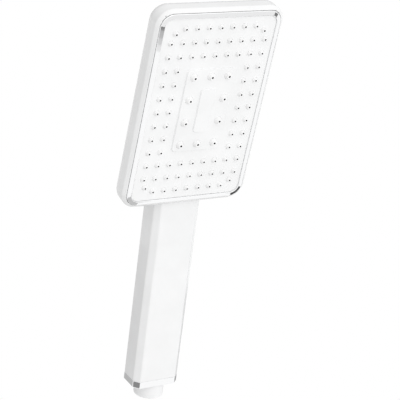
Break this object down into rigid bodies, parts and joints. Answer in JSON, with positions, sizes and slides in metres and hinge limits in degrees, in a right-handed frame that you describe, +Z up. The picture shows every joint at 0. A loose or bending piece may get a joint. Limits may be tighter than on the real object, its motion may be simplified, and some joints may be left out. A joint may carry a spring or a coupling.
{
  "type": "handheld shower head",
  "caption": "Rectangular handheld shower head with a chamfered handle, soft nozzles in two fields, a chrome trim ring and a push-button spray selector.",
  "frame": {"origin": "middle of the inlet nipple's end face", "axes": "+Z up along the handle from inlet to head, -Y towards the side that the water leaves, +X to the right of someone facing the nozzles"},
  "size_m": [0.0934, 0.0504, 0.2967],
  "materials": {
    "shell_plastic": "gloss",
    "face_plastic": "gloss",
    "trim_chrome": "polished",
    "nozzle_silicone": "satin",
    "button_plastic": "gloss",
    "inlet_plastic": "satin",
    "inner_plastic": "satin",
    "valve_plastic": "satin",
    "tube_plastic": "gloss",
    "limiter_plastic": "satin",
    "seal_rubber": "matte",
    "screw_steel": "satin"
  },
  "bodies": {
    "handset": {"body_shell": "shell_plastic", "trim_ring": "trim_chrome", "face_plate": "face_plastic", "rain_nozzle_mat": "nozzle_silicone", "massage_nozzle_mat": "nozzle_silicone", "distributor_plate": "inner_plastic", "chamber_gasket": "seal_rubber", "island_gasket": "seal_rubber", "manifold": "inner_plastic", "manifold_screws": "screw_steel", "valve_seat": "seal_rubber", "valve_cap": "inner_plastic", "stem_o_ring": "seal_rubber", "button_spring": "screw_steel", "button_bezel": "trim_chrome", "water_tube": "tube_plastic", "upper_tube_seal": "seal_rubber", "lower_tube_seal": "seal_rubber", "inlet_connector": "inlet_plastic", "connector_screws": "screw_steel", "end_collar": "trim_chrome", "flow_limiter": "limiter_plastic", "limiter_o_ring": "seal_rubber", "inlet_screen": "screw_steel"},
    "button": {"push_button": "button_plastic", "button_stem": "valve_plastic", "drive_pin": "screw_steel"},
    "diverter": {"diverter_rotor": "valve_plastic"}
  },
  "joints": [
    {"name": "button_press", "type": "slide", "parent": "handset", "child": "button", "axis": [0, -0.9888, -0.1495], "range_m": [0, 0.003], "stiffness_N_per_m": 900, "springref_m": -0.004, "deforming": ["button_spring"]},
    {"name": "diverter_turn", "type": "hinge", "parent": "handset", "child": "diverter", "pos_m": [0, -0.00916, 0.19712], "axis": [0, -0.9888, -0.1495], "range_deg": [0, 45]}
  ],
  "couplings": [
    {"joint": "diverter_turn", "follows": "button_press", "rad_per_m": 261.79}
  ]
}
